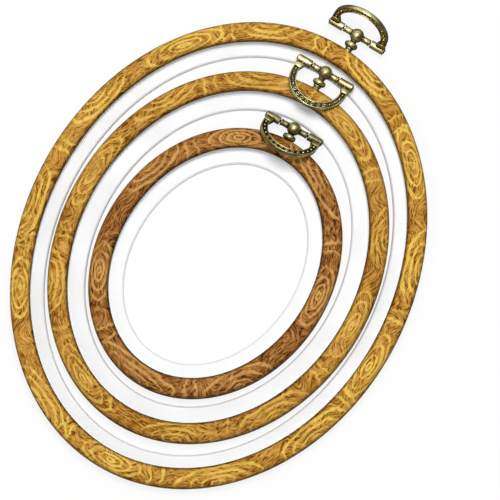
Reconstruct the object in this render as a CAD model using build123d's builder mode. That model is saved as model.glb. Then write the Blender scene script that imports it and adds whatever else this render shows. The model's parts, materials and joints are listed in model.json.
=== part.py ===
from build123d import *
import math
import os

os.makedirs("parts", exist_ok=True)

# A nested set of three oval embroidery hoops, in millimetres.
# +Z is up from the table and +Y runs along the large hoop's long axis, to its
# hanger. The origin is the middle of the large hoop, at table height.

# Large hoop: its length, how much longer than wide it is, where its hanger
# stands, how far its collar is from the ball, and how much of the ferrule shows
large_long_axis = 254.0
large_oval = 47.6
large_band_width = 7.3
large_hanger_side = 11.1
large_hanger_lean = -4.4
large_collar_offset = 6.0
large_ferrule_show = 1.85
large_bail_angle = 65.0

# Medium hoop: its play in the large hoop's opening, and where it lies there
medium_side_play = 2.6
medium_hanger_clearance = 0.085
medium_band_width = 9.2
medium_hanger_side = -1.1
medium_hanger_lean = -0.3
medium_collar_offset = 6.2
medium_ferrule_show = 2.15
medium_bail_clearance = 0.3
medium_centre_x = 0.4
medium_centre_y = -1.3
medium_turn = -3.4

# Small hoop: its play in the medium hoop's opening, and where it lies there
small_end_play = 14.4
small_side_play = 5.3
small_band_width = 7.9
small_hanger_side = -5.5
small_hanger_lean = 5.7
small_collar_offset = 5.25
small_ferrule_show = 0.0
small_bail_angle = 134.0
small_offset_x = 0.1
small_offset_y = -3.6
small_turn = -7.4

# Outer ring section
ring_width = 10.6
ring_height = 10.5
outer_shoulder = 4.0
inner_shoulder = 3.0
ring_foot_round = 1.6

# Rebate under the outer ring's inner edge, where the inner ring's wall stands
rebate_width = 2.3
rebate_height = 6.6

# Inner ring section
band_thickness = 2.4
wall_thickness = 1.8
band_edge_round = 1.3
cloth_gap = 0.3

# Post that carries the hanger
ball_clearance = 0.35
ball_radius = 3.65
neck_radius = 1.8
collar_radius = 3.6
collar_rim_width = 2.9
collar_face_radius = 2.1
shank_radius = 1.5
ferrule_radius = 2.2
ferrule_seat = 0.8
ferrule_waist_share = 0.147
insert_radius = 2.1
insert_cover = 0.7
insert_wall_end = 0.4

# Hinge of the hanger
pin_radius = 0.8
pin_head_radius = 1.4
pin_head_length = 0.4
sleeve_radius = 1.85
sleeve_rim = 0.25
sleeve_rim_share = 0.17
barrel_radius = 2.15
barrel_length = 7.9
barrel_overhang = 0.3
hinge_gap = 0.6
head_gap = 0.15

# Bail: an arch with straight legs, from the hinge up to the arch's centre
bail_radius = 16.0
bail_leg = 7.2
bail_band_width = 3.7
bail_thickness = 2.0
bail_rim_width = 0.6
bail_rim_rise = 0.25
bead_radius = 0.55
bead_count = 15
foot_width = 4.9
foot_rise = 5.8
foot_thickness = 2.8

# Fits
press_clearance = 0.02
running_clearance = 0.05
seat_clearance = 0.05

up = Vector(0, 0, 1)


# The hanger's ball passes just over the band of the hoop around it
post_height = band_thickness + ball_radius + ball_clearance

# The collar reaches this far to either side of its own middle
collar_half = collar_rim_width / 2

# Places along the hinge, from the middle of the ball
barrel_end = bail_radius + barrel_overhang
barrel_start = barrel_end - barrel_length
sleeve_end = barrel_start - hinge_gap
ball_flat = math.sqrt(ball_radius**2 - sleeve_radius**2)
pin_end = barrel_end + head_gap

# How deep in the outer ring's wall the brass bush ends, short of the rebate
insert_length = ring_width - rebate_width - insert_cover - ferrule_seat
insert_depth = ferrule_seat + insert_length

large_short_axis = large_long_axis - large_oval

# The medium hoop is as long as leaves its hinge bar clear of the large ring
medium_post_reach = medium_collar_offset + collar_half + medium_ferrule_show
lip_long = large_long_axis / 2 - ring_width
lip_short = large_short_axis / 2 - ring_width
medium_hub_side = medium_centre_x + medium_hanger_side - lip_long * math.sin(math.radians(medium_turn))
lip_share = (medium_hub_side + pin_end + pin_head_length) / lip_short
lip_at_bar = lip_long * math.sqrt(1 - lip_share**2)
bar_room = lip_at_bar - barrel_radius - medium_hanger_clearance
medium_long_axis = 2 * (bar_room - medium_post_reach - medium_centre_y)
medium_short_axis = large_short_axis - 2 * (ring_width + large_band_width) - medium_side_play

# Its bail lies back on its own ring, whose rounded shoulder its legs just clear
bead_track = bail_radius - bail_band_width / 2
ring_fall = medium_long_axis / 2 * (1 - math.sqrt(1 - (2 * bead_track / medium_short_axis) ** 2))
shoulder_reach = medium_post_reach + ring_fall + outer_shoulder
shoulder_rise = ring_height - outer_shoulder - post_height
bail_lift = outer_shoulder + bail_thickness / 2 + bead_radius + medium_bail_clearance
shoulder_distance = math.hypot(shoulder_reach, shoulder_rise)
bail_slope = math.asin(bail_lift / shoulder_distance) + math.atan2(shoulder_rise, shoulder_reach)
medium_bail_angle = 180 - math.degrees(bail_slope)

small_long_axis = medium_long_axis - 2 * (ring_width + medium_band_width) - small_end_play
small_short_axis = medium_short_axis - 2 * (ring_width + medium_band_width) - small_side_play


def hoop_plane(centre_x, centre_y, turn):
    """Plane at the table, at a hoop's middle, with Y along its long axis."""
    angle = math.radians(turn)
    return Plane(
        origin=(centre_x, centre_y, 0),
        x_dir=(math.cos(angle), math.sin(angle), 0),
        z_dir=(0, 0, 1),
    )


def hanger_root(plane, long_axis, short_axis, side, turn, lean):
    """Plane on the outer ring's wall, X along the hinge and Y out along the post."""
    half_long = long_axis / 2
    half_short = short_axis / 2
    wall_y = half_long * math.sqrt(1 - (side / half_short) ** 2)
    angle = math.radians(turn + lean)
    return Plane(
        origin=plane.from_local_coords((side, wall_y, post_height)),
        x_dir=(math.cos(angle), math.sin(angle), 0),
        z_dir=(0, 0, 1),
    )


def along(plane, distance):
    """The same plane moved outward along the post."""
    return Plane(
        origin=plane.origin + plane.y_dir * distance,
        x_dir=plane.x_dir,
        z_dir=plane.z_dir,
    )


def across(plane, offset):
    """Plane square to the hinge, at a place along it."""
    return Plane(
        origin=plane.origin + plane.x_dir * offset,
        x_dir=plane.y_dir,
        z_dir=plane.x_dir,
    )


def bail_plane(hub, angle):
    """Plane of the bail: X along the hinge, Y up the bail, raised from outward."""
    raised = math.radians(angle)
    face = up * math.cos(raised) - hub.y_dir * math.sin(raised)
    return Plane(origin=hub.origin, x_dir=hub.x_dir, z_dir=face)


def save(builder, name):
    builder.part.label = name
    export_step(builder.part, "parts/" + name + ".step")


def outer_ring(name, plane, root, long_axis, short_axis):
    """Flexible ring with domed shoulders, a rebate and the bore for the hanger."""
    half_long = long_axis / 2
    half_short = short_axis / 2
    seat_long = half_long - ring_width + rebate_width
    seat_short = half_short - ring_width + rebate_width
    # The bores run inward along the post, from clear of the wall
    bore_plane = Plane(origin=root.origin, x_dir=root.x_dir, z_dir=-root.y_dir)
    with BuildPart() as ring:
        with BuildSketch(plane):
            Ellipse(half_short, half_long)
            Ellipse(half_short - ring_width, half_long - ring_width, mode=Mode.SUBTRACT)
        extrude(amount=ring_height)
        top_outside = ring.edges().group_by(Axis.Z)[-1].sort_by(SortBy.LENGTH)[-1]
        fillet(top_outside, outer_shoulder)
        top_inside = ring.edges().group_by(Axis.Z)[-1].sort_by(SortBy.LENGTH)[0]
        fillet(top_inside, inner_shoulder)
        foot_outside = ring.edges().group_by(Axis.Z)[0].sort_by(SortBy.LENGTH)[-1]
        fillet(foot_outside, ring_foot_round)
        with BuildSketch(plane):
            Ellipse(seat_short, seat_long)
        extrude(amount=rebate_height, mode=Mode.SUBTRACT)
        with BuildSketch(bore_plane.offset(-ring_width)):
            Circle(ferrule_radius + seat_clearance)
        extrude(amount=ring_width + ferrule_seat, mode=Mode.SUBTRACT)
        with BuildSketch(bore_plane):
            Circle(insert_radius + seat_clearance)
        extrude(amount=insert_depth + seat_clearance, mode=Mode.SUBTRACT)
    save(ring, name + "_outer_ring")


def inner_ring(name, plane, long_axis, short_axis, band_width):
    """Rigid ring: a flat band with an upright wall that stands in the rebate."""
    wall_out_long = long_axis / 2 - ring_width + rebate_width - cloth_gap
    wall_out_short = short_axis / 2 - ring_width + rebate_width - cloth_gap
    wall_in_long = wall_out_long - wall_thickness
    wall_in_short = wall_out_short - wall_thickness
    open_long = long_axis / 2 - ring_width - band_width
    open_short = short_axis / 2 - ring_width - band_width
    with BuildPart() as ring:
        with BuildSketch(plane):
            Ellipse(wall_out_short, wall_out_long)
            Ellipse(open_short, open_long, mode=Mode.SUBTRACT)
        extrude(amount=band_thickness)
        band_edges = ring.edges().group_by(Axis.Z)[-1].sort_by(SortBy.LENGTH)[0]
        fillet(band_edges, band_edge_round)
        with BuildSketch(plane):
            Ellipse(wall_out_short, wall_out_long)
            Ellipse(wall_in_short, wall_in_long, mode=Mode.SUBTRACT)
        extrude(amount=rebate_height - cloth_gap)
    save(ring, name + "_inner_ring")


def anchor_insert(name, root):
    """Brass bush moulded into the ring, which the post's shank screws into."""
    bottom = Plane(
        origin=root.origin - root.y_dir * insert_depth, x_dir=root.x_dir, z_dir=root.y_dir
    )
    with BuildPart() as insert:
        with BuildSketch(bottom):
            Circle(insert_radius)
        extrude(amount=insert_length)
        with BuildSketch(bottom.offset(insert_wall_end)):
            Circle(shank_radius + seat_clearance)
        extrude(amount=insert_length, mode=Mode.SUBTRACT)
    save(insert, name + "_anchor_insert")


def ferrule(name, root, show):
    """Small turned ring between the hoop's wall and the post's collar, with a waist."""
    waist_radius = ferrule_radius - (ferrule_seat + show) * ferrule_waist_share
    inside = shank_radius + seat_clearance
    middle = (show - ferrule_seat) / 2
    with BuildPart() as ring:
        with BuildSketch(root):
            with BuildLine():
                Line((inside, -ferrule_seat), (ferrule_radius, -ferrule_seat))
                ThreePointArc(
                    (ferrule_radius, -ferrule_seat),
                    (waist_radius, middle),
                    (ferrule_radius, show),
                )
                Line((ferrule_radius, show), (inside, show))
                Line((inside, show), (inside, -ferrule_seat))
            make_face()
        revolve(axis=Axis(root.origin, root.y_dir))
    save(ring, name + "_ferrule")


def hanger_post(name, hub, collar_offset, reach):
    """Turned post: shank, round collar, neck and the ball that holds the pin."""
    collar_out = collar_offset - collar_half
    collar_in = collar_offset + collar_half
    shank_end = reach + insert_depth - insert_wall_end - seat_clearance
    ball_foot = math.sqrt(ball_radius**2 - neck_radius**2)
    with BuildPart() as post:
        with BuildSketch(hub):
            with BuildLine():
                ThreePointArc((0, ball_radius), (ball_radius, 0), (neck_radius, -ball_foot))
                Polyline(
                    (neck_radius, -ball_foot),
                    (neck_radius, -collar_out),
                    (collar_face_radius, -collar_out),
                )
                ThreePointArc(
                    (collar_face_radius, -collar_out),
                    (collar_radius, -collar_offset),
                    (collar_face_radius, -collar_in),
                )
                Polyline(
                    (collar_face_radius, -collar_in),
                    (shank_radius, -collar_in),
                    (shank_radius, -shank_end),
                    (0, -shank_end),
                    (0, ball_radius),
                )
            make_face()
        revolve(axis=Axis(hub.origin, hub.y_dir))
        # The ball is flat where the sleeves butt against it
        for side in (-1, 1):
            with BuildSketch(across(hub, side * ball_flat)):
                Circle(2 * ball_radius)
            extrude(amount=side * ball_radius, mode=Mode.SUBTRACT)
        with BuildSketch(across(hub, 0)):
            Circle(pin_radius + press_clearance)
        extrude(amount=ball_radius, both=True, mode=Mode.SUBTRACT)
    save(post, name + "_hanger_post")


def hinge_pin(name, hub):
    """Pin through the ball, the sleeves and the bail's barrels, headed at both ends."""
    with BuildPart() as pin:
        with BuildSketch(across(hub, 0)):
            Circle(pin_radius)
        extrude(amount=pin_end, both=True)
        for side in (-1, 1):
            with BuildSketch(across(hub, side * pin_end)):
                Circle(pin_head_radius)
            extrude(amount=side * pin_head_length)
    save(pin, name + "_hinge_pin")


def sleeve(name, hub, side):
    """Spacer on the pin between the ball and one barrel, with a rim at each end."""
    bore = pin_radius + press_clearance
    body_radius = sleeve_radius - sleeve_rim
    near = side * ball_flat
    far = side * sleeve_end
    rim = (far - near) * sleeve_rim_share
    with BuildPart() as spacer:
        with BuildSketch(hub):
            with BuildLine():
                Polyline(
                    (near, bore),
                    (near, sleeve_radius),
                    (near + rim, sleeve_radius),
                    (near + rim, body_radius),
                    (far - rim, body_radius),
                    (far - rim, sleeve_radius),
                    (far, sleeve_radius),
                    (far, bore),
                    close=True,
                )
            make_face()
        revolve(axis=Axis(hub.origin, hub.x_dir))
    save(spacer, name)


def arch(radius, mode=Mode.ADD):
    """Half disc on two straight legs that stand on the hinge's line, in a sketch."""
    with Locations((0, bail_leg)):
        Circle(radius, mode=mode)
    with Locations((0, bail_leg / 2)):
        Rectangle(2 * radius, bail_leg, mode=mode)


def below(height):
    """Cuts all of a bail's sketch that lies below a height."""
    with Locations((0, height - bail_radius)):
        Rectangle(4 * bail_radius, 2 * bail_radius, mode=Mode.SUBTRACT)


def bail(name, hub, angle):
    """Arched loop with a barrel at each foot, rims and a row of beads."""
    plane = bail_plane(hub, angle)
    inner_radius = bail_radius - bail_band_width
    half_thickness = bail_thickness / 2
    with BuildPart() as loop:
        with BuildSketch(plane):
            arch(bail_radius)
            arch(inner_radius, Mode.SUBTRACT)
            below(0)
        extrude(amount=half_thickness, both=True)
        # Raised rims along the loop's outer and inner edges, on both faces
        with BuildSketch(plane):
            arch(bail_radius)
            arch(bail_radius - bail_rim_width, Mode.SUBTRACT)
            arch(inner_radius + bail_rim_width)
            arch(inner_radius, Mode.SUBTRACT)
            below(bail_leg / 2)
        extrude(amount=half_thickness + bail_rim_rise, both=True)
        for side in (-1, 1):
            with BuildSketch(across(plane, side * barrel_start)):
                Circle(barrel_radius)
            extrude(amount=side * barrel_length)
            with BuildSketch(plane):
                with Locations((side * (bail_radius - foot_width / 2), foot_rise / 2)):
                    Rectangle(foot_width, foot_rise)
            extrude(amount=foot_thickness / 2, both=True)
        # Beads stand half out of both faces, from one end of the arch to the other
        for face in (-1, 1):
            for step in range(bead_count):
                turn = math.pi * step / (bead_count - 1)
                bead_x = bead_track * math.cos(turn)
                bead_y = bail_leg + bead_track * math.sin(turn)
                bead_plane = plane.offset(face * half_thickness)
                with Locations(Plane(bead_plane.from_local_coords((bead_x, bead_y, 0)))):
                    Sphere(bead_radius)
        with BuildSketch(across(plane, 0)):
            Circle(pin_radius + running_clearance)
        extrude(amount=pin_end, both=True, mode=Mode.SUBTRACT)
    save(loop, name + "_bail")


def hoop(
    name,
    centre_x,
    centre_y,
    turn,
    long_axis,
    short_axis,
    band_width,
    side,
    lean,
    collar_offset,
    show,
    angle,
):
    """One whole hoop: two rings and the hanger screwed into the outer one."""
    plane = hoop_plane(centre_x, centre_y, turn)
    root = hanger_root(plane, long_axis, short_axis, side, turn, lean)
    reach = collar_offset + collar_half + show
    hub = along(root, reach)
    outer_ring(name, plane, root, long_axis, short_axis)
    inner_ring(name, plane, long_axis, short_axis, band_width)
    anchor_insert(name, root)
    ferrule(name, root, show)
    hanger_post(name, hub, collar_offset, reach)
    hinge_pin(name, hub)
    sleeve(name + "_left_sleeve", hub, -1)
    sleeve(name + "_right_sleeve", hub, 1)
    bail(name, hub, angle)


hoop(
    "large",
    0,
    0,
    0,
    large_long_axis,
    large_short_axis,
    large_band_width,
    large_hanger_side,
    large_hanger_lean,
    large_collar_offset,
    large_ferrule_show,
    large_bail_angle,
)
hoop(
    "medium",
    medium_centre_x,
    medium_centre_y,
    medium_turn,
    medium_long_axis,
    medium_short_axis,
    medium_band_width,
    medium_hanger_side,
    medium_hanger_lean,
    medium_collar_offset,
    medium_ferrule_show,
    medium_bail_angle,
)
hoop(
    "small",
    medium_centre_x + small_offset_x,
    medium_centre_y + small_offset_y,
    small_turn,
    small_long_axis,
    small_short_axis,
    small_band_width,
    small_hanger_side,
    small_hanger_lean,
    small_collar_offset,
    small_ferrule_show,
    small_bail_angle,
)
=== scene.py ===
import json
import math

import bmesh
import bpy
import numpy as np
from mathutils import Matrix, Vector


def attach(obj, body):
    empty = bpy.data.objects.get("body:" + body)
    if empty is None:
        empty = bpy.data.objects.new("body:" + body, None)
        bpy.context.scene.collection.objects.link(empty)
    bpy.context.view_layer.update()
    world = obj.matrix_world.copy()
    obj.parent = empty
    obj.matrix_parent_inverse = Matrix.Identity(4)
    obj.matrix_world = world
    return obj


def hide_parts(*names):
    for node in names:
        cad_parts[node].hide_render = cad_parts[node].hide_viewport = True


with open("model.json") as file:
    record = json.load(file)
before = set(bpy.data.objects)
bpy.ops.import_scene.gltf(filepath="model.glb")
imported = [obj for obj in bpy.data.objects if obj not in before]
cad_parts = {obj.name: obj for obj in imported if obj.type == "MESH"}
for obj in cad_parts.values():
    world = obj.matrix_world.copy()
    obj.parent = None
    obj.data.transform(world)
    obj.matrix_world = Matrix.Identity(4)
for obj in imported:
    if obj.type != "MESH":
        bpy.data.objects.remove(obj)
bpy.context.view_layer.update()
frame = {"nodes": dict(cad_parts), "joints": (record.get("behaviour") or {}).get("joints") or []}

# Sizes are written in millimetres and built in metres.
MM = 0.001

# The three ovals: long and short axis, band, middle and turn of each
HOOPS = {
    "large": {"long": 254.0, "short": 206.4, "band": 7.3, "middle": (0.0, 0.0), "turn": 0.0},
    "medium": {"long": 204.0, "short": 168.0, "band": 9.2, "middle": (0.4, -1.3), "turn": -3.4},
    "small": {"long": 150.0, "short": 123.1, "band": 7.9, "middle": (0.5, -4.9), "turn": -7.4},
}

# Outer ring section
RING_WIDTH = 10.6
RING_HEIGHT = 10.5
OUTER_SHOULDER = 4.0
INNER_SHOULDER = 3.0
FOOT_ROUND = 1.6
REBATE_WIDTH = 2.3
REBATE_HEIGHT = 6.6
CROWN = 0.25
LIP_ROUND = 0.25

# Inner ring section
BAND_THICKNESS = 2.4
WALL_THICKNESS = 1.8
WALL_HEIGHT = 6.3
CLOTH_GAP = 0.3
EDGE_ROUND = 0.5
BAND_ROUND = 1.3

# Hanger
BALL_RADIUS = 3.65
NECK_RADIUS = 1.8
COLLAR_RADIUS = 3.6
COLLAR_WIDTH = 2.9
COLLAR_FACE = 2.1
SHANK_RADIUS = 1.5
FERRULE_RADIUS = 2.2
FERRULE_SEAT = 0.8
INSERT_LENGTH = 6.8
PIN_RADIUS = 0.8
PIN_HEAD_RADIUS = 1.4
SLEEVE_RADIUS = 1.85
BARREL_RADIUS = 2.15
BARREL_LENGTH = 7.9
BARREL_END = 16.3
HINGE_GAP = 0.6
BAIL_RADIUS = 16.0
BAIL_LEG = 7.2
BAIL_BAND = 3.7
BAIL_THICKNESS = 2.0
BAIL_RIM = 0.6
BAIL_RIM_RISE = 0.25
FOOT_WIDTH = 4.9
FOOT_START = 2.7
FOOT_RISE = 5.8
FOOT_DEPTH = 1.4
NOTCH_START = 1.6
NOTCH_END = 3.0
NOTCH_DEPTH = 1.1
CHANNEL_DEPTH = 0.35
BEAD_COUNT = 15
RING_BEADS = range(4, 11)
SLEEVE_RIM = 0.8
SLEEVE_WAIST = 0.22
SLEEVE_SOFTENING = 0.14
SLEEVE_GROOVE = 0.25
BAIL_ANGLES = {"large": 65.0, "medium": 157.08, "small": 134.0}
COLLAR_OFFSETS = {"large": 6.0, "medium": 6.2, "small": 5.25}
FERRULE_SHOWS = {"large": 1.85, "medium": 2.15, "small": 0.0}
# How much darker each hanger's brass is drawn: painted shade over the whole small hanger and over
# its hinge bar, which lie in the medium ring's shade, and patina in the bail's channel
HANGER_PAINTED_SHADE = {"large": 0.0, "medium": 0.0, "small": 0.38}
BAR_PAINTED_SHADE = {"large": 0.0, "medium": 0.0, "small": 0.32}
RIM_SHADE = -0.35
BEAD_SHADE = -0.25
CHANNEL_TARNISH = {"large": 0.35, "medium": 0.80, "small": 0.80}

# Camera, from the photograph's frame of 500 by 500 pixels
FRAME_PIXELS = 500
HOOP_PIXEL = (218.9, 254.3)
MM_PER_PIXEL = 0.5205
LONG_AXIS_SCREEN_ANGLE = 62.94
CAMERA_TILT = 8.0
CAMERA_LENS = 400.0
SENSOR = 36.0
AIM_HEIGHT = 5.0

# Nodes that build the materials


class Nodes:
    """A short way to add and join the nodes of one material."""

    def __init__(self, name):
        self.material = bpy.data.materials.new(name)
        self.material.use_nodes = True
        self.tree = self.material.node_tree
        self.tree.nodes.clear()
        self.output = self.tree.nodes.new("ShaderNodeOutputMaterial")

    def add(self, kind, inputs=None, **settings):
        node = self.tree.nodes.new("ShaderNode" + kind)
        for key, value in settings.items():
            setattr(node, key, value)
        for key, value in (inputs or {}).items():
            self.set(node.inputs[key], value)
        return node

    def set(self, socket, value):
        if isinstance(value, bpy.types.NodeSocket):
            self.tree.links.new(value, socket)
        else:
            socket.default_value = value

    def attribute(self, name, output="Fac"):
        node = self.add("Attribute", attribute_name=name)
        return node.outputs[output]

    def scaled(self, vector, along, across):
        node = self.add("Mapping", {"Vector": vector, "Scale": (along, along, across)})
        return node.outputs["Vector"]

    def noise(self, vector, scale=1.0, detail=2.0, roughness=0.5, distortion=0.0):
        inputs = {
            "Vector": vector,
            "Scale": scale,
            "Detail": detail,
            "Roughness": roughness,
            "Distortion": distortion,
        }
        return self.add("TexNoise", inputs).outputs[0]

    def math(self, operation, a, b=0.0):
        return self.add("Math", {0: a, 1: b}, operation=operation).outputs[0]

    def scaled_sum(self, base, *terms):
        """A value plus others, each times its own share."""
        for value, share in terms:
            base = self.math("ADD", base, self.math("MULTIPLY", value, share))
        return base

    def ramp(self, value, low, high, to_low=0.0, to_high=1.0):
        inputs = {
            "Value": value,
            "From Min": low,
            "From Max": high,
            "To Min": to_low,
            "To Max": to_high,
        }
        return self.add("MapRange", inputs, interpolation_type="SMOOTHSTEP").outputs["Result"]

    def mix(self, factor, a, b):
        node = self.add("Mix", data_type="RGBA")
        self.set(node.inputs[0], factor)
        self.set(node.inputs[6], a)
        self.set(node.inputs[7], b)
        return node.outputs[2]

    def bump(self, height, distance, strength):
        inputs = {"Height": height, "Distance": distance, "Strength": strength}
        return self.add("Bump", inputs).outputs["Normal"]

    def surface(self, inputs):
        shader = self.add("BsdfPrincipled", inputs)
        self.tree.links.new(shader.outputs[0], self.output.inputs["Surface"])
        return self.material


def linear(red, green, blue):
    """Linear colour of an 8-bit display colour."""

    def channel(value):
        share = value / 255
        if share <= 0.04045:
            return share / 12.92
        return ((share + 0.055) / 1.055) ** 2.4

    return (channel(red), channel(green), channel(blue), 1.0)


# Materials


# Each gold ring round a knot: its share of the knot, and half its width in millimetres
GOLD_RINGS = ((0.14, 0.55), (0.38, 0.60), (0.68, 0.70), (1.0, 0.80))
CROSS_BAND_HALF_WIDTHS = (0.50, 0.95)
PRINT_RELIEF = 0.16 * MM


def wood_look(name, light, middle, gold, fleck, edge, gold_share):
    """Printed wood: gold rings round knots, gold cross bands, and dark flecks between, with painted
    shade along both borders.
    """
    n = Nodes(name)
    grain = n.attribute("grain", "Vector")
    knot = n.attribute("knot")
    spread = n.attribute("spread")
    bar = n.attribute("bar")
    border_shade = n.attribute("border_shade")
    # Gold rings round each knot, bent by a slow noise and a quick one
    bend = n.math("SUBTRACT", n.noise(n.scaled(grain, 0.09, 0.20), detail=2.0), 0.5)
    shake = n.math("SUBTRACT", n.noise(n.scaled(grain, 0.45, 0.8), detail=2.0), 0.5)
    bends = n.math("ADD", n.math("MULTIPLY", bend, 0.34), n.math("MULTIPLY", shake, 0.10))
    reach = n.math("ADD", knot, bends)
    gold_mask = None
    for share, half_wide in GOLD_RINGS:
        away = n.math("MULTIPLY", n.math("ABSOLUTE", n.math("SUBTRACT", reach, share)), spread)
        line = n.ramp(away, half_wide * 0.65, half_wide * 1.15, 1.0, 0.0)
        gold_mask = line if gold_mask is None else n.math("MAXIMUM", gold_mask, line)
    # Gold bands that cross the ring between the knots
    sway = n.math("ADD", n.math("MULTIPLY", bend, 7.0), n.math("MULTIPLY", shake, 1.6))
    band_gap = n.math("ABSOLUTE", n.math("ADD", bar, sway))
    band = n.ramp(band_gap, *CROSS_BAND_HALF_WIDTHS, 1.0, 0.0)
    gold_mask = n.math("MAXIMUM", gold_mask, band)
    presence = n.ramp(n.noise(n.scaled(grain, 0.06, 0.14), detail=2.0), 0.35, 0.52, 0.40, 1.0)
    breaks = n.ramp(n.noise(n.scaled(grain, 0.6, 0.9), detail=2.0), 0.31, 0.48, 0.45, 1.0)
    gold_mask = n.math("MULTIPLY", n.math("MULTIPLY", gold_mask, presence), breaks)
    gold_mask = n.math("MULTIPLY", gold_mask, gold_share)
    # Streaks follow slanting waves, because the place across the ring is bent first
    parts = n.add("SeparateXYZ", {0: grain}).outputs
    wave = n.math("SUBTRACT", n.noise(n.scaled(grain, 0.055, 0.05), detail=1.0), 0.5)
    slant = n.math("ADD", parts[2], n.math("MULTIPLY", wave, 26.0))
    flow = n.add("CombineXYZ", {0: parts[0], 1: parts[1], 2: slant}).outputs[0]
    streak = n.noise(n.scaled(flow, 0.26, 1.25), detail=3.0, roughness=0.6, distortion=0.3)
    hair = n.noise(n.scaled(flow, 0.60, 2.6), detail=2.0, roughness=0.6)
    mottle = n.noise(n.scaled(grain, 0.05, 0.09), detail=2.0)
    hair_swing = n.math("SUBTRACT", hair, 0.5)
    mottle_swing = n.math("SUBTRACT", mottle, 0.5)
    tone = n.scaled_sum(streak, (hair_swing, 0.55), (mottle_swing, 0.22))
    ground = n.mix(n.ramp(tone, 0.36, 0.50), light, middle)
    dark_mask = n.ramp(tone, 0.515, 0.65)
    ground = n.mix(n.math("MULTIPLY", dark_mask, 0.95), ground, fleck)
    colour = n.mix(n.math("MULTIPLY", gold_mask, 0.88), ground, gold)
    # Both borders of the ring are painted darker, as shade where its top turns down
    uneven = n.math("MULTIPLY", n.math("SUBTRACT", tone, 0.5), 0.35)
    rim = n.ramp(n.math("ADD", border_shade, uneven), 0.70, 1.08)
    colour = n.mix(n.math("MULTIPLY", rim, 0.85), colour, edge)
    raised = n.math("MULTIPLY", gold_mask, 0.25)
    sunk = n.math("MULTIPLY", dark_mask, 0.8)
    normal = n.bump(n.math("SUBTRACT", raised, sunk), PRINT_RELIEF, 0.6)
    rough = n.ramp(tone, 0.3, 0.7, 0.42, 0.58)
    inputs = {
        "Base Color": colour,
        "Roughness": rough,
        "Normal": normal,
        "Specular IOR Level": 0.07,
    }
    return n.surface(inputs)


def white_plastic():
    """Moulded white plastic, very slightly uneven, with a soft sheen."""
    n = Nodes("white_plastic")
    place = n.add("TexCoord").outputs["Object"]
    cloud = n.noise(place, scale=38.0, detail=3.0)
    speck = n.noise(place, scale=2200.0, detail=2.0)
    cool = (0.84, 0.85, 0.86, 1.0)
    pale = (0.87, 0.875, 0.88, 1.0)
    colour = n.mix(n.ramp(cloud, 0.3, 0.7), cool, pale)
    rough = n.ramp(cloud, 0.25, 0.75, 0.32, 0.46)
    normal = n.bump(speck, 0.02 * MM, 0.35)
    return n.surface({"Base Color": colour, "Roughness": rough, "Normal": normal})


def antique_brass():
    """Olive brass, polished on its high spots, near black with patina in its hollows, and painted
    darker as shade between its parts and on its upright sides.
    """
    n = Nodes("antique_brass")
    place = n.add("TexCoord").outputs["Object"]
    occlusion = n.add("AmbientOcclusion", {"Distance": 1.2 * MM}, samples=8, inside=False)
    patina_and_shade = n.attribute("patina_and_shade")
    mottle = n.noise(place, scale=520.0, detail=4.0, roughness=0.6)
    tarnish = n.noise(place, scale=170.0, detail=3.0)
    # Sheltered places go near black: patina in the hollows, and painted shade in the gaps between
    # parts.
    sheltered = n.ramp(occlusion.outputs["AO"], 0.35, 0.95, 1.0, 0.0)
    mottle_swing = n.math("SUBTRACT", mottle, 0.5)
    dark = n.ramp(n.scaled_sum(sheltered, (patina_and_shade, 0.75), (mottle_swing, 0.35)), 0.15, 0.80)
    bright = (0.68, 0.61, 0.30, 1.0)
    olive = (0.38, 0.33, 0.12, 1.0)
    black = (0.016, 0.014, 0.008, 1.0)
    metal = n.mix(n.ramp(tarnish, 0.38, 0.62), bright, olive)
    # The upright sides of each piece are painted darker, as shade where the light falls off them
    facing = n.add("SeparateXYZ", {0: n.add("TexCoord").outputs["Normal"]}).outputs[2]
    side = n.ramp(n.math("ABSOLUTE", facing), 0.08, 0.50, 0.80, 0.0)
    dark = n.math("MAXIMUM", dark, side)
    colour = n.mix(dark, metal, black)
    rough = n.ramp(n.scaled_sum(dark, (mottle, 0.4)), 0.1, 1.1, 0.26, 0.60)
    inputs = {
        "Base Color": colour,
        "Metallic": 0.88,
        "Roughness": rough,
        "Normal": n.bump(mottle, 0.03 * MM, 0.5),
    }
    return n.surface(inputs)


GOLDEN = wood_look(
    "golden_wood_look",
    light=linear(218, 166, 78),
    middle=linear(190, 134, 46),
    gold=linear(244, 206, 90),
    fleck=linear(104, 56, 2),
    edge=linear(66, 34, 6),
    gold_share=1.0,
)
MEDIUM_WOOD = wood_look(
    "medium_wood_look",
    light=linear(212, 160, 74),
    middle=linear(184, 128, 44),
    gold=linear(238, 196, 86),
    fleck=linear(98, 52, 2),
    edge=linear(60, 30, 5),
    gold_share=0.85,
)
REDDISH = wood_look(
    "small_wood_look",
    light=linear(188, 132, 66),
    middle=linear(150, 94, 36),
    gold=linear(224, 174, 96),
    fleck=linear(62, 30, 2),
    edge=linear(42, 20, 4),
    gold_share=0.8,
)
WOODS = {"large": GOLDEN, "medium": MEDIUM_WOOD, "small": REDDISH}
WHITE = white_plastic()
BRASS = antique_brass()

# Mesh helpers


def mesh_object(name, points, faces, material, smooth=True):
    """One mesh object, in metres, from points in millimetres."""
    mesh = bpy.data.meshes.new(name)
    mesh.from_pydata([tuple(c * MM for c in p) for p in points], [], faces)
    mesh.update()
    build = bmesh.new()
    build.from_mesh(mesh)
    bmesh.ops.recalc_face_normals(build, faces=build.faces)
    build.to_mesh(mesh)
    build.free()
    mesh.polygons.foreach_set("use_smooth", [smooth] * len(mesh.polygons))
    mesh.materials.append(material)
    thing = bpy.data.objects.new(name, mesh)
    bpy.context.scene.collection.objects.link(thing)
    return thing


def set_attribute(thing, name, kind, values):
    attribute = thing.data.attributes.new(name, kind, "POINT")
    key = "vector" if kind == "FLOAT_VECTOR" else "value"
    attribute.data.foreach_set(key, np.asarray(values, np.float32).ravel())


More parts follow.
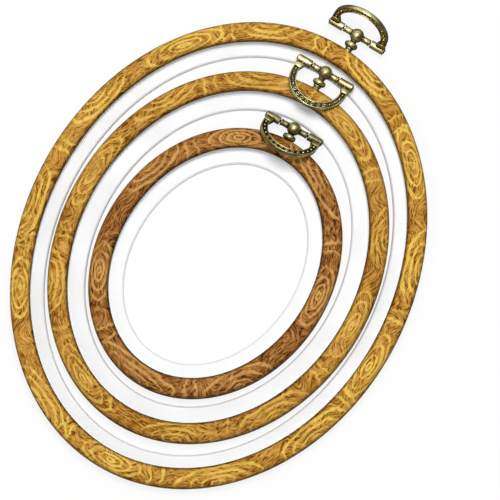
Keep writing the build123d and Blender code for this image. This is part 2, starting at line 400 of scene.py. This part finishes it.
# How finely the ovals are cut
OVAL_SAMPLES = 20000
OUTER_STATIONS = 900
INNER_STATIONS = 720


def arc(centre, radius, start, end, steps):
    """Points of an arc in a plane, angles in degrees, both ends included."""
    points = []
    for i in range(steps + 1):
        angle = math.radians(start + (end - start) * i / steps)
        points.append((centre[0] + radius * math.cos(angle), centre[1] + radius * math.sin(angle)))
    return points


def straight(start, end, steps):
    """Points between two places, without the ends."""
    return [
        (
            start[0] + (end[0] - start[0]) * i / steps,
            start[1] + (end[1] - start[1]) * i / steps,
        )
        for i in range(1, steps)
    ]


def oval_stations(half_long, half_short, count):
    """Angles round an oval at equal steps of length, from the long axis on, and its girth."""
    fine = np.linspace(0, 2 * math.pi, OVAL_SAMPLES + 1)
    x = half_short * np.sin(fine)
    y = half_long * np.cos(fine)
    run = np.concatenate([[0], np.cumsum(np.hypot(np.diff(x), np.diff(y)))])
    return np.interp(np.linspace(0, run[-1], count + 1)[:-1], run, fine), run[-1]


def swept_oval(hoop, section, count):
    """A closed section (distance in from the rim, height) swept round an oval."""
    half_long = hoop["long"] / 2
    half_short = hoop["short"] / 2
    angles, girth = oval_stations(half_long - RING_WIDTH / 2, half_short - RING_WIDTH / 2, count)
    depth = np.array([p[0] for p in section])
    height = np.array([p[1] for p in section])
    x = (half_short - depth)[None, :] * np.sin(angles)[:, None]
    y = (half_long - depth)[None, :] * np.cos(angles)[:, None]
    turn = math.radians(hoop["turn"])
    world_x = hoop["middle"][0] + x * math.cos(turn) - y * math.sin(turn)
    world_y = hoop["middle"][1] + x * math.sin(turn) + y * math.cos(turn)
    world_z = np.broadcast_to(height[None, :], world_x.shape)
    points = np.stack([world_x, world_y, world_z], axis=-1).reshape(-1, 3)
    across = len(section)
    faces = []
    for i in range(count):
        j = (i + 1) % count
        for k in range(across):
            m = (k + 1) % across
            faces.append((i * across + k, i * across + m, j * across + m, j * across + k))
    return points, faces, girth


# The print, in millimetres along and across the ring's skin
KNOT_SPACING = 54
KNOT_SIDES = (5.2, 4.4, 0.0, 5.6, -0.6)
BAR_BOW = 0.027


def knots_of(girth, seed):
    """Printed knots (along, across, half length, half width), and cross bands between them."""
    dice = np.random.default_rng(seed)
    count = round(girth / KNOT_SPACING)
    step = girth / count
    knots = []
    bars = []
    for i in range(count):
        place = (i + 0.5 + dice.uniform(-0.14, 0.14)) * step
        side = KNOT_SIDES[(i + seed) % len(KNOT_SIDES)] + dice.uniform(-0.6, 0.6)
        half_wide = 6.2 + max(0.0, side) * 0.5
        knots.append((place, side, dice.uniform(15.0, 22.0), half_wide))
        if i % 3 != 1:
            middle = (i + 1.0 + dice.uniform(-0.05, 0.05)) * step
            bars.append((middle, dice.uniform(2.2, 3.0)))
    return knots, bars


def knot_fields(along, across, girth, knots):
    """Share of the way out of the nearest knot, and the millimetres that a share of one spans."""
    nearest = np.full(np.broadcast(along, across).shape, 9.0)
    spread = np.ones_like(nearest)
    for place, side, length, width in knots:
        gap = (along - place + girth / 2) % girth - girth / 2
        rise = across - side
        reach = np.sqrt((gap / length) ** 2 + (rise / width) ** 2 + 1e-4)
        slope = np.sqrt((gap / length**2) ** 2 + (rise / width**2) ** 2 + 1e-6) / reach
        closer = reach < nearest
        nearest = np.where(closer, reach, nearest)
        spread = np.where(closer, 1 / slope, spread)
    return nearest, np.clip(spread, 1.0, 30.0)


def bar_field(along, across, girth, bars):
    """How far a place is outside the nearest pair of cross bands, less than zero inside it."""
    nearest = np.full(np.broadcast(along, across).shape, 20.0)
    for place, half_gap in bars:
        gap = (along - place + girth / 2) % girth - girth / 2
        bowed = half_gap + BAR_BOW * across * across
        nearest = np.minimum(nearest, np.abs(gap) - bowed)
    return nearest


def outer_section():
    """Rebated, domed section of an outer ring, from its lip over the top and down to the rebate."""
    foot = REBATE_HEIGHT
    inner = RING_WIDTH
    seat = RING_WIDTH - REBATE_WIDTH
    points = [(inner - LIP_ROUND, foot)]
    points += arc((inner - LIP_ROUND, foot + LIP_ROUND), LIP_ROUND, -90, 0, 4)[1:]
    points += arc((inner - INNER_SHOULDER, RING_HEIGHT - INNER_SHOULDER), INNER_SHOULDER, 0, 90, 12)
    top_start = (inner - INNER_SHOULDER, RING_HEIGHT)
    top_end = (OUTER_SHOULDER, RING_HEIGHT)
    points += straight(top_start, top_end, 6)
    points += arc((OUTER_SHOULDER, RING_HEIGHT - OUTER_SHOULDER), OUTER_SHOULDER, 90, 180, 14)
    points += straight((0, RING_HEIGHT - OUTER_SHOULDER), (0, FOOT_ROUND), 6)
    points += arc((FOOT_ROUND, FOOT_ROUND), FOOT_ROUND, 180, 270, 8)
    points += straight((FOOT_ROUND, 0), (seat, 0), 6)
    points += [(seat, 0)]
    points += straight((seat, 0), (seat, foot), 5)
    points += [(seat, foot)]
    # The top is crowned a little between its shoulders
    crowned = []
    for depth, height in points:
        across = (depth - inner / 2) / (inner / 2)
        share = max(0.0, (height - foot) / (RING_HEIGHT - foot))
        crowned.append((depth, height - CROWN * share * across * across))
    return crowned


def skin_run(section):
    """Distance of each section point along the skin, zero at the middle of the top."""
    run = [0.0]
    for a, b in zip(section, section[1:]):
        run.append(run[-1] + math.hypot(b[0] - a[0], b[1] - a[1]))
    # Height counts ten times, so that the place chosen is on the top
    off_top = [abs(depth - RING_WIDTH / 2) - height * 10 for depth, height in section]
    return np.array(run) - run[off_top.index(min(off_top))]


def build_outer_ring(name, hoop, seed):
    """One wood-look ring, with the fields that its printed figure is drawn from."""
    section = outer_section()
    count = OUTER_STATIONS
    points, faces, girth = swept_oval(hoop, section, count)
    ring = mesh_object(name + "_wood_ring", points, faces, WOODS[name])
    run = skin_run(section)
    along = np.arange(count)[:, None] * girth / count
    across = np.broadcast_to(run[None, :], (count, len(section)))
    angle = along / girth * 2 * math.pi
    radius = girth / (2 * math.pi)
    shift = 400.0 * seed
    grain = np.stack(
        [
            np.broadcast_to(radius * np.cos(angle), across.shape) + shift,
            np.broadcast_to(radius * np.sin(angle), across.shape),
            across,
        ],
        axis=-1,
    )
    set_attribute(ring, "grain", "FLOAT_VECTOR", grain)
    knots, bars = knots_of(girth, seed)
    knot, spread = knot_fields(along, across, girth, knots)
    set_attribute(ring, "knot", "FLOAT", knot)
    set_attribute(ring, "spread", "FLOAT", spread)
    set_attribute(ring, "bar", "FLOAT", bar_field(along, across, girth, bars))
    # One at either border of the top, and more on the inner side, for painted shade that is deepest
    # where the ring meets the white ring
    depth = np.array([p[0] for p in section])
    border_shade = np.abs(depth - RING_WIDTH / 2) / (RING_WIDTH / 2)
    border_shade = border_shade + np.where(depth > RING_WIDTH / 2, 0.08, -0.02)
    set_attribute(ring, "border_shade", "FLOAT", np.broadcast_to(border_shade[None, :], across.shape))
    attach(ring, name + "_outer")
    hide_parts(name + "_outer_ring")


def inner_section(band):
    """L-shaped section of an inner ring: the upright wall, then the flat band."""
    wall_out = RING_WIDTH - REBATE_WIDTH + CLOTH_GAP
    wall_in = wall_out + WALL_THICKNESS
    edge = RING_WIDTH + band
    small = EDGE_ROUND
    wide = BAND_ROUND
    points = arc((wall_out + small, small), small, 270, 180, 4)
    points += straight((wall_out, small), (wall_out, WALL_HEIGHT - small), 4)
    points += arc((wall_out + small, WALL_HEIGHT - small), small, 180, 90, 4)
    points += arc((wall_in - small, WALL_HEIGHT - small), small, 90, 0, 4)
    points += arc((wall_in + small, BAND_THICKNESS + small), small, 180, 270, 5)
    points += straight((wall_in + small, BAND_THICKNESS), (edge - wide, BAND_THICKNESS), 8)
    points += arc((edge - wide, BAND_THICKNESS - wide), wide, 90, 0, 10)
    points += arc((edge - small / 2, small / 2), small / 2, 0, -90, 4)
    points += straight((edge - small / 2, 0), (wall_out + small, 0), 6)
    return points


def build_inner_ring(name, hoop):
    """One white ring."""
    points, faces, _ = swept_oval(hoop, inner_section(hoop["band"]), INNER_STATIONS)
    ring = mesh_object(name + "_white_ring", points, faces, WHITE)
    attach(ring, name + "_inner")
    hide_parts(name + "_inner_ring")


# Hangers


def hanger_frame(name):
    """Origin, hinge, outward and up directions of a hanger, from its hinge joint."""
    joint = next(j for j in frame["joints"] if j["name"] == name + "_bail_hinge")
    origin = Vector(joint["pos_m"]) / MM
    hinge = Vector(joint["axis"]).normalized()
    up = Vector((0, 0, 1))
    outward = up.cross(hinge)
    return origin, hinge, outward, up


def lathe(profile, origin, axis, side, steps=48):
    """Points and faces of a profile (distance along the axis, radius) turned round an axis."""
    third = axis.cross(side)
    points = []
    faces = []
    rings = []
    closed = profile[0] == profile[-1]
    for along, radius in profile[:-1] if closed else profile:
        if radius < 1e-6:
            rings.append([len(points)])
            points.append(origin + axis * along)
            continue
        ring = []
        for i in range(steps):
            angle = 2 * math.pi * i / steps
            ring.append(len(points))
            spoke = side * math.cos(angle) + third * math.sin(angle)
            points.append(origin + axis * along + spoke * radius)
        rings.append(ring)
    for a, b in zip(rings, rings[1:] + rings[:1] if closed else rings[1:]):
        for i in range(steps):
            j = (i + 1) % steps
            if len(a) == 1 and len(b) == 1:
                continue
            if len(a) == 1:
                faces.append((a[0], b[i], b[j]))
            elif len(b) == 1:
                faces.append((a[i], a[j], b[0]))
            else:
                faces.append((a[i], a[j], b[j], b[i]))
    return points, faces


def join(parts):
    """One list of points and faces from several closed shells."""
    points = []
    faces = []
    for part_points, part_faces in parts:
        base = len(points)
        points += list(part_points)
        faces += [tuple(base + i for i in face) for face in part_faces]
    return points, faces


def rounded_tube(start, end, radius, bevel, bore):
    """Closed profile of a tube whose outer edges are rounded."""
    profile = [(start, bore)]
    profile += arc((start + bevel, radius - bevel), bevel, 180, 90, 4)
    profile += arc((end - bevel, radius - bevel), bevel, 90, 0, 4)
    profile += [(end, bore), (start, bore)]
    return profile


# Further along its axis than any turned piece reaches, in millimetres
FAR = 20.0


def build_post(name, place):
    """Shank, collar, neck and ball, turned in one piece."""
    origin, hinge, outward, _ = place
    inward = -outward
    foot = math.sqrt(BALL_RADIUS**2 - NECK_RADIUS**2)
    foot_angle = math.acos(foot / BALL_RADIUS)
    ball = []
    for i in range(31):
        angle = foot_angle + (math.pi - foot_angle) * (1 - i / 30)
        ball.append((BALL_RADIUS * math.cos(angle), BALL_RADIUS * math.sin(angle)))
    ball[0] = (-BALL_RADIUS, 0.0)
    # The collar's rim is full and round, and its faces are dished where they meet the post
    collar_middle = COLLAR_OFFSETS[name]
    collar = []
    for i in range(21):
        turn = math.pi * i / 20
        along = collar_middle - COLLAR_WIDTH / 2 * math.cos(turn)
        collar.append((along, COLLAR_FACE + (COLLAR_RADIUS - COLLAR_FACE) * math.sin(turn) ** 0.8))
    neck_end = collar_middle - COLLAR_WIDTH / 2
    collar_end = collar_middle + COLLAR_WIDTH / 2
    shank_end = collar_end + FERRULE_SHOWS[name] + FERRULE_SEAT + INSERT_LENGTH - 0.45
    neck = [(foot + 0.1, NECK_RADIUS), (neck_end - 0.1, NECK_RADIUS - 0.05)]
    neck.append((neck_end, COLLAR_FACE - 0.2))
    shank = [(collar_end, SHANK_RADIUS), (shank_end, SHANK_RADIUS), (shank_end, 0.0)]
    points, faces = lathe(ball + neck + collar + shank, origin, inward, hinge, 56)
    post = mesh_object(name + "_post", points, faces, BRASS)
    # Painted shade in the neck between the ball and the collar, and on the shank past the collar
    spans = ((foot - 0.3, neck_end + 0.2, 0.8), (collar_end - 0.2, FAR, 0.8))
    darken(post, name, origin, inward, spans)
    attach(post, name + "_outer")
    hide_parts(name + "_hanger_post")


def build_ferrule(name, place):
    """Small turned ferrule with two beads and a waist."""
    origin, hinge, outward, _ = place
    start = COLLAR_OFFSETS[name] + COLLAR_WIDTH / 2
    bore = SHANK_RADIUS + 0.05
    length = FERRULE_SHOWS[name] + FERRULE_SEAT
    bead_width = length * 0.42
    swell = 0.147 * length
    profile = [(start, bore)]
    for i in (0, 1):
        first = start + i * (length - bead_width)
        middle = first + bead_width / 2
        for step in range(9):
            angle = math.pi * (1 - step / 8)
            along = middle + bead_width / 2 * math.cos(angle)
            profile.append((along, FERRULE_RADIUS - swell + swell * math.sin(angle)))
    profile += [(start + length, bore), (start, bore)]
    points, faces = lathe(profile, origin, -outward, hinge, 40)
    ferrule = mesh_object(name + "_ferrule_beads", points, faces, BRASS)
    darken(ferrule, name, origin, -outward, ((0.0, FAR, 0.5),))
    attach(ferrule, name + "_outer")
    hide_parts(name + "_ferrule")


def darken(thing, name, origin, axis, spans):
    """Marks spans of a turned piece, measured along its axis, as darker, on top of the hanger's
    overall painted shade.
    """
    values = []
    for vertex in thing.data.vertices:
        along = (vertex.co / MM - origin).dot(axis)
        shades = [shade for start, end, shade in spans if start <= along <= end]
        values.append(HANGER_PAINTED_SHADE[name] + max(shades, default=0.0))
    set_attribute(thing, "patina_and_shade", "FLOAT", values)


def hinge_places():
    """Along the hinge: the ball's flat, the sleeve's end, and the barrel's start and end."""
    flat = math.sqrt(BALL_RADIUS**2 - SLEEVE_RADIUS**2)
    barrel_start = BARREL_END - BARREL_LENGTH
    return flat, barrel_start - HINGE_GAP, barrel_start, BARREL_END


def build_sleeves(name, place):
    """The two spacer sleeves, each with a rim at both ends and a groove against the ball."""
    origin, hinge, outward, _ = place
    flat, sleeve_end, _, _ = hinge_places()
    bore = PIN_RADIUS + 0.02
    soft = SLEEVE_SOFTENING
    full = SLEEVE_RADIUS
    waist = SLEEVE_RADIUS - SLEEVE_WAIST
    groove = waist - SLEEVE_GROOVE
    groove_end = flat + 0.3
    near_rim = flat + SLEEVE_RIM
    far_rim = sleeve_end - SLEEVE_RIM
    for side, label in ((-1, "left"), (1, "right")):
        profile = [(flat, bore), (flat, groove), (groove_end, groove)]
        profile += [(groove_end, full - soft), (groove_end + soft, full)]
        profile += [(near_rim - soft, full), (near_rim, full - soft)]
        profile += [(near_rim + soft, waist), (far_rim - soft, waist)]
        profile += [(far_rim, full - soft), (far_rim + soft, full)]
        profile += [(sleeve_end - soft, full), (sleeve_end, full - soft)]
        profile += [(sleeve_end, bore), (flat, bore)]
        points, faces = lathe(profile, origin, hinge * side, outward, 40)
        sleeve = mesh_object(name + "_spacer_" + label, points, faces, BRASS)
        # Painted shade at the sleeve's end against the ball and at its end against the barrel; the
        # small hanger's sleeves also get its bar's painted shade
        ends = ((0.0, flat + 0.45, 1.0), (sleeve_end - 0.1, FAR, 0.8))
        darken(sleeve, name, origin, hinge * side, ends + ((0.0, FAR, BAR_PAINTED_SHADE[name]),))
        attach(sleeve, name + "_outer")
        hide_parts(name + "_" + label + "_sleeve")


def build_pin(name, place):
    """The hinge pin with a domed head at each end."""
    origin, hinge, outward, _ = place
    _, _, _, barrel_end = hinge_places()
    end = barrel_end + 0.15
    head = [(end, PIN_RADIUS), (end, PIN_HEAD_RADIUS), (end + 0.2, PIN_HEAD_RADIUS - 0.05)]
    head += [(end + 0.34, PIN_HEAD_RADIUS - 0.4), (end + 0.4, 0.0)]
    mirrored = [(-along, radius) for along, radius in reversed(head)]
    points, faces = lathe(mirrored + head, origin, hinge, outward, 32)
    pin = mesh_object(name + "_pin", points, faces, BRASS)
    darken(pin, name, origin, hinge, ((-FAR, FAR, 0.9),))
    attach(pin, name + "_outer")
    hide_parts(name + "_hinge_pin")


def bail_track(steps):
    """Places along the arch and its legs: in-plane point, outward direction."""
    middle = BAIL_RADIUS - BAIL_BAND / 2
    leg = [1.2 + (BAIL_LEG - 1.2) * i / 5 for i in range(5)]
    track = [((middle, rise), (1.0, 0.0)) for rise in leg]
    for i in range(steps + 1):
        angle = math.pi * i / steps
        out = (math.cos(angle), math.sin(angle))
        track.append(((middle * out[0], BAIL_LEG + middle * out[1]), out))
    track += [((-middle, rise), (-1.0, 0.0)) for rise in reversed(leg)]
    return track


def bail_loop(plane, channel):
    """The arch: a band with raised rims and a channel of the given shade, swept along its track."""
    origin, across, along, normal = plane
    half = BAIL_BAND / 2
    thick = BAIL_THICKNESS / 2
    rise = BAIL_RIM_RISE
    rim = BAIL_RIM
    face = [
        (half, thick * 0.45),
        (half - 0.06, thick + rise * 0.5),
        (half - rim * 0.35, thick + rise),
        (half - rim * 0.75, thick + rise),
        (half - rim, thick + rise * 0.4),
        (half - rim - 0.08, thick - CHANNEL_DEPTH + 0.07),
        (half - rim - 0.30, thick - CHANNEL_DEPTH),
        (0.0, thick - CHANNEL_DEPTH),
    ]
    upper = face + [(-x, z) for x, z in reversed(face[:-1])]
    section = upper + [(x, -z) for x, z in reversed(upper)]
    # The channel's walls are darkest, and the rims are polished
    dark = []
    for x, _ in section:
        edge = half - rim - abs(x)
        shade = channel if edge >= 0.25 else channel + 0.2
        dark.append(shade if edge > 0.0 else RIM_SHADE)
    points = []
    faces = []
    patina_and_shade = []
    track = bail_track(96)
    for (px, py), (ox, oy) in track:
        base = origin + across * px + along * py
        out = across * ox + along * oy
        for (x, z), shade in zip(section, dark):
            points.append(base + out * x + normal * z)
            patina_and_shade.append(shade)
    size = len(section)
    last = (len(track) - 1) * size
    for start in range(0, last, size):
        for k in range(size):
            m = (k + 1) % size
            faces.append((start + k, start + m, start + size + m, start + size + k))
    faces.append(tuple(range(size)))
    faces.append(tuple(range(last, last + size)))
    return points, faces, patina_and_shade


def dome(centre, normal, side, radius, rise):
    """A bead: a low dome that stands on a face and goes a little below it."""
    profile = [(-0.25, 0.0), (-0.25, radius)]
    for i in range(7):
        angle = math.pi / 2 * i / 6
        profile.append((rise * math.sin(angle), radius * math.cos(angle)))
    profile[-1] = (rise, 0.0)
    return lathe(profile, centre, normal, side, 20)


def scroll(centre, normal, side, radius, tube):
    """A small raised ring that stands on a face."""
    profile = []
    for i in range(12):
        angle = 2 * math.pi * i / 12
        profile.append((tube * math.sin(angle), radius + tube * math.cos(angle)))
    profile.append(profile[0])
    return lathe(profile, centre, normal, side, 24)


def block(plane, low, high, bevel, taper):
    """A small block with chamfered edges in the bail's plane, whose inner side slopes."""
    origin, across, along, normal = plane
    inner = 0 if abs(low[0]) < abs(high[0]) else 1
    points = []
    shrink = [(bevel, bevel, 0.0), (bevel, 0.0, bevel), (0.0, bevel, bevel)]
    for sx in (0, 1):
        for sy in (0, 1):
            for sz in (0, 1):
                for cut in shrink:
                    corner = []
                    for axis, side in enumerate((sx, sy, sz)):
                        edge = (low, high)[side][axis]
                        corner.append(edge + cut[axis] * (1 if side == 0 else -1))
                    if sx == inner and sy == 1:
                        corner[0] += taper * (1 if inner == 0 else -1)
                    x, y, z = corner
                    points.append(origin + across * x + along * y + normal * z)
    build = bmesh.new()
    for p in points:
        build.verts.new(p)
    bmesh.ops.convex_hull(build, input=build.verts)
    build.verts.ensure_lookup_table()
    build.verts.index_update()
    made_points = [v.co.copy() for v in build.verts]
    made_faces = [tuple(v.index for v in f.verts) for f in build.faces]
    build.free()
    return made_points, made_faces


def build_bail(name, place):
    """Band, beads, small raised rings, feet and barrels of one bail."""
    origin, hinge, outward, up = place
    raised = math.radians(BAIL_ANGLES[name])
    along = outward * math.cos(raised) + up * math.sin(raised)
    normal = hinge.cross(along)
    plane = (origin, hinge, along, normal)
    _, _, barrel_start, barrel_end = hinge_places()
    loop_points, loop_faces, shades = bail_loop(plane, CHANNEL_TARNISH[name])
    parts = [(loop_points, loop_faces)]
    middle = BAIL_RADIUS - BAIL_BAND / 2
    channel_floor = BAIL_THICKNESS / 2 - CHANNEL_DEPTH - 0.01
    for face in (-1, 1):
        for i in range(BEAD_COUNT):
            angle = math.pi * i / (BEAD_COUNT - 1)
            out = hinge * math.cos(angle) + along * math.sin(angle)
            centre = origin + along * BAIL_LEG + out * middle + normal * face * channel_floor
            if i in RING_BEADS:
                parts.append(scroll(centre + normal * face * 0.30, normal * face, out, 0.76, 0.27))
                parts.append(dome(centre, normal * face, out, 0.24, 0.45))
            else:
                parts.append(dome(centre, normal * face, out, 0.66, 0.80))
    shades += [BEAD_SHADE] * (sum(len(points) for points, _ in parts) - len(shades))
    for side in (-1, 1):
        inner = side * (BAIL_RADIUS - FOOT_WIDTH)
        outer = side * (BAIL_RADIUS + 0.05)
        # A foot stands on its barrel with a notch between them, drawn at full darkness as a painted
        # shadow line under the barrel
        low = (min(inner, outer), FOOT_START, -FOOT_DEPTH)
        high = (max(inner, outer), FOOT_RISE, FOOT_DEPTH)
        parts.append(block(plane, low, high, 0.2, 1.0))
        shades += [0.0] * len(parts[-1][0])
        inset = 0.25 * side
        low = (min(inner + inset, outer - inset), NOTCH_START, -NOTCH_DEPTH)
        high = (max(inner + inset, outer - inset), NOTCH_END, NOTCH_DEPTH)
        parts.append(block(plane, low, high, 0.1, 0.0))
        shades += [1.0] * len(parts[-1][0])
        profile = rounded_tube(barrel_start, barrel_end, BARREL_RADIUS, 0.22, PIN_RADIUS + 0.05)
        parts.append(lathe(profile, origin, hinge * side, along, 44))
        shades += [BAR_PAINTED_SHADE[name]] * len(parts[-1][0])
    points, faces = join(parts)
    bail = mesh_object(name + "_beaded_bail", points, faces, BRASS)
    set_attribute(bail, "patina_and_shade", "FLOAT", [shade + HANGER_PAINTED_SHADE[name] for shade in shades])
    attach(bail, name + "_hanger")
    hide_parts(name + "_bail")


for seed, (hoop_name, hoop) in enumerate(HOOPS.items(), start=1):
    build_outer_ring(hoop_name, hoop, seed)
    build_inner_ring(hoop_name, hoop)
    hanger = hanger_frame(hoop_name)
    build_post(hoop_name, hanger)
    build_ferrule(hoop_name, hanger)
    build_sleeves(hoop_name, hanger)
    build_pin(hoop_name, hanger)
    build_bail(hoop_name, hanger)
    insert = frame["nodes"][hoop_name + "_anchor_insert"]
    insert.data.materials.clear()
    insert.data.materials.append(BRASS)

# Camera


def camera_axes():
    """Right, up and towards-camera directions for the photograph's view."""
    lean = math.radians(LONG_AXIS_SCREEN_ANGLE)
    right = Vector((math.sin(lean), math.cos(lean), 0))
    table_up = Vector((-math.cos(lean), math.sin(lean), 0))
    tilt = math.radians(CAMERA_TILT)
    up = Vector((0, 0, 1))
    back = up * math.cos(tilt) - table_up * math.sin(tilt)
    screen_up = table_up * math.cos(tilt) + up * math.sin(tilt)
    return right, table_up, screen_up, back


right, table_up, screen_up, back = camera_axes()
half_frame = FRAME_PIXELS / 2
aim = right * (half_frame - HOOP_PIXEL[0]) * MM_PER_PIXEL
aim += table_up * (HOOP_PIXEL[1] - half_frame) * MM_PER_PIXEL / math.cos(math.radians(CAMERA_TILT))
aim += Vector((0, 0, AIM_HEIGHT))
distance = CAMERA_LENS / SENSOR * FRAME_PIXELS * MM_PER_PIXEL
camera_data = bpy.data.cameras.new("camera")
camera_data.lens = CAMERA_LENS
camera_data.sensor_width = SENSOR
camera = bpy.data.objects.new("camera", camera_data)
camera.matrix_world = Matrix.Translation((aim + back * distance) * MM) @ Matrix(
    (
        (right.x, screen_up.x, back.x, 0),
        (right.y, screen_up.y, back.y, 0),
        (right.z, screen_up.z, back.z, 0),
        (0, 0, 0, 1),
    )
)
bpy.context.scene.collection.objects.link(camera)
bpy.context.scene.camera = camera

# Floor


def floor_material():
    """Pale floor that looks white to the camera but keeps the hoops' shadow."""
    n = Nodes("floor")
    rays = n.add("LightPath").outputs
    tint = n.mix(rays["Is Glossy Ray"], (0.9, 0.9, 0.9, 1.0), (0.10, 0.095, 0.085, 1.0))
    paper = n.add("BsdfDiffuse", {"Color": tint})
    glow = n.add("Emission", {"Color": (1.0, 1.0, 1.0, 1.0), "Strength": 1.03})
    blend = n.add("MixShader", {0: n.math("MULTIPLY", rays["Is Camera Ray"], 0.8)})
    n.tree.links.new(paper.outputs[0], blend.inputs[1])
    n.tree.links.new(glow.outputs[0], blend.inputs[2])
    n.tree.links.new(blend.outputs[0], n.output.inputs["Surface"])
    return n.material


FLOOR_REACH = 3000.0
FLOOR_HEIGHT = -0.02
corners = [(-1, -1), (1, -1), (1, 1), (-1, 1)]
floor = mesh_object(
    "floor",
    [(x * FLOOR_REACH, y * FLOOR_REACH, FLOOR_HEIGHT) for x, y in corners],
    [(0, 1, 2, 3)],
    floor_material(),
    smooth=False,
)

# Light


def soft_box(name, direction, reach, size, watts):
    """A square soft light that faces the hoops, with its reach and size in metres."""
    data = bpy.data.lights.new(name, "AREA")
    data.shape = "SQUARE"
    data.size = size
    data.energy = watts
    light = bpy.data.objects.new(name, data)
    light.location = direction.normalized() * reach
    light.rotation_mode = "QUATERNION"
    light.rotation_quaternion = direction.to_track_quat("Z", "Y")
    bpy.context.scene.collection.objects.link(light)


sky = Vector((0, 0, 1))
key_side = sky + table_up * 0.22 + right * 0.06
top_side = sky - table_up * 0.35 - right * 0.5
soft_box("key", key_side, reach=1.4, size=0.5, watts=11.3)
soft_box("top", top_side, reach=1.6, size=0.9, watts=3.1)

# World: the even light on the hoops, and the darkest and brightest that their gloss reflects
EVEN_LIGHT = 0.45
REFLECTED_DARK = 0.03
REFLECTED_BRIGHT = 1.4
REFLECTION_RISE = (0.28, 0.92)


def studio_world():
    """Even light all round. Reflections see a bright ceiling and a dark horizon."""
    world = bpy.data.worlds.new("world")
    world.use_nodes = True
    tree = world.node_tree
    tree.nodes.clear()
    place = tree.nodes.new("ShaderNodeTexCoord")
    facing = tree.nodes.new("ShaderNodeVectorMath")
    facing.operation = "DOT_PRODUCT"
    facing.inputs[1].default_value = (sky + table_up * 0.7).normalized()
    height = tree.nodes.new("ShaderNodeMapRange")
    height.interpolation_type = "SMOOTHSTEP"
    height.inputs["From Min"].default_value = REFLECTION_RISE[0]
    height.inputs["From Max"].default_value = REFLECTION_RISE[1]
    height.inputs["To Min"].default_value = REFLECTED_DARK
    height.inputs["To Max"].default_value = REFLECTED_BRIGHT
    rays = tree.nodes.new("ShaderNodeLightPath")
    level = tree.nodes.new("ShaderNodeMix")
    level.inputs[2].default_value = EVEN_LIGHT
    seen = tree.nodes.new("ShaderNodeMix")
    seen.inputs[3].default_value = 1.0
    background = tree.nodes.new("ShaderNodeBackground")
    output = tree.nodes.new("ShaderNodeOutputWorld")
    links = tree.links
    links.new(place.outputs["Generated"], facing.inputs[0])
    links.new(facing.outputs["Value"], height.inputs["Value"])
    links.new(rays.outputs["Is Glossy Ray"], level.inputs[0])
    links.new(height.outputs["Result"], level.inputs[3])
    links.new(rays.outputs["Is Camera Ray"], seen.inputs[0])
    links.new(level.outputs[0], seen.inputs[2])
    links.new(seen.outputs[0], background.inputs["Strength"])
    links.new(background.outputs[0], output.inputs["Surface"])
    return world


bpy.context.scene.world = studio_world()
bpy.context.scene.view_settings.view_transform = "Standard"
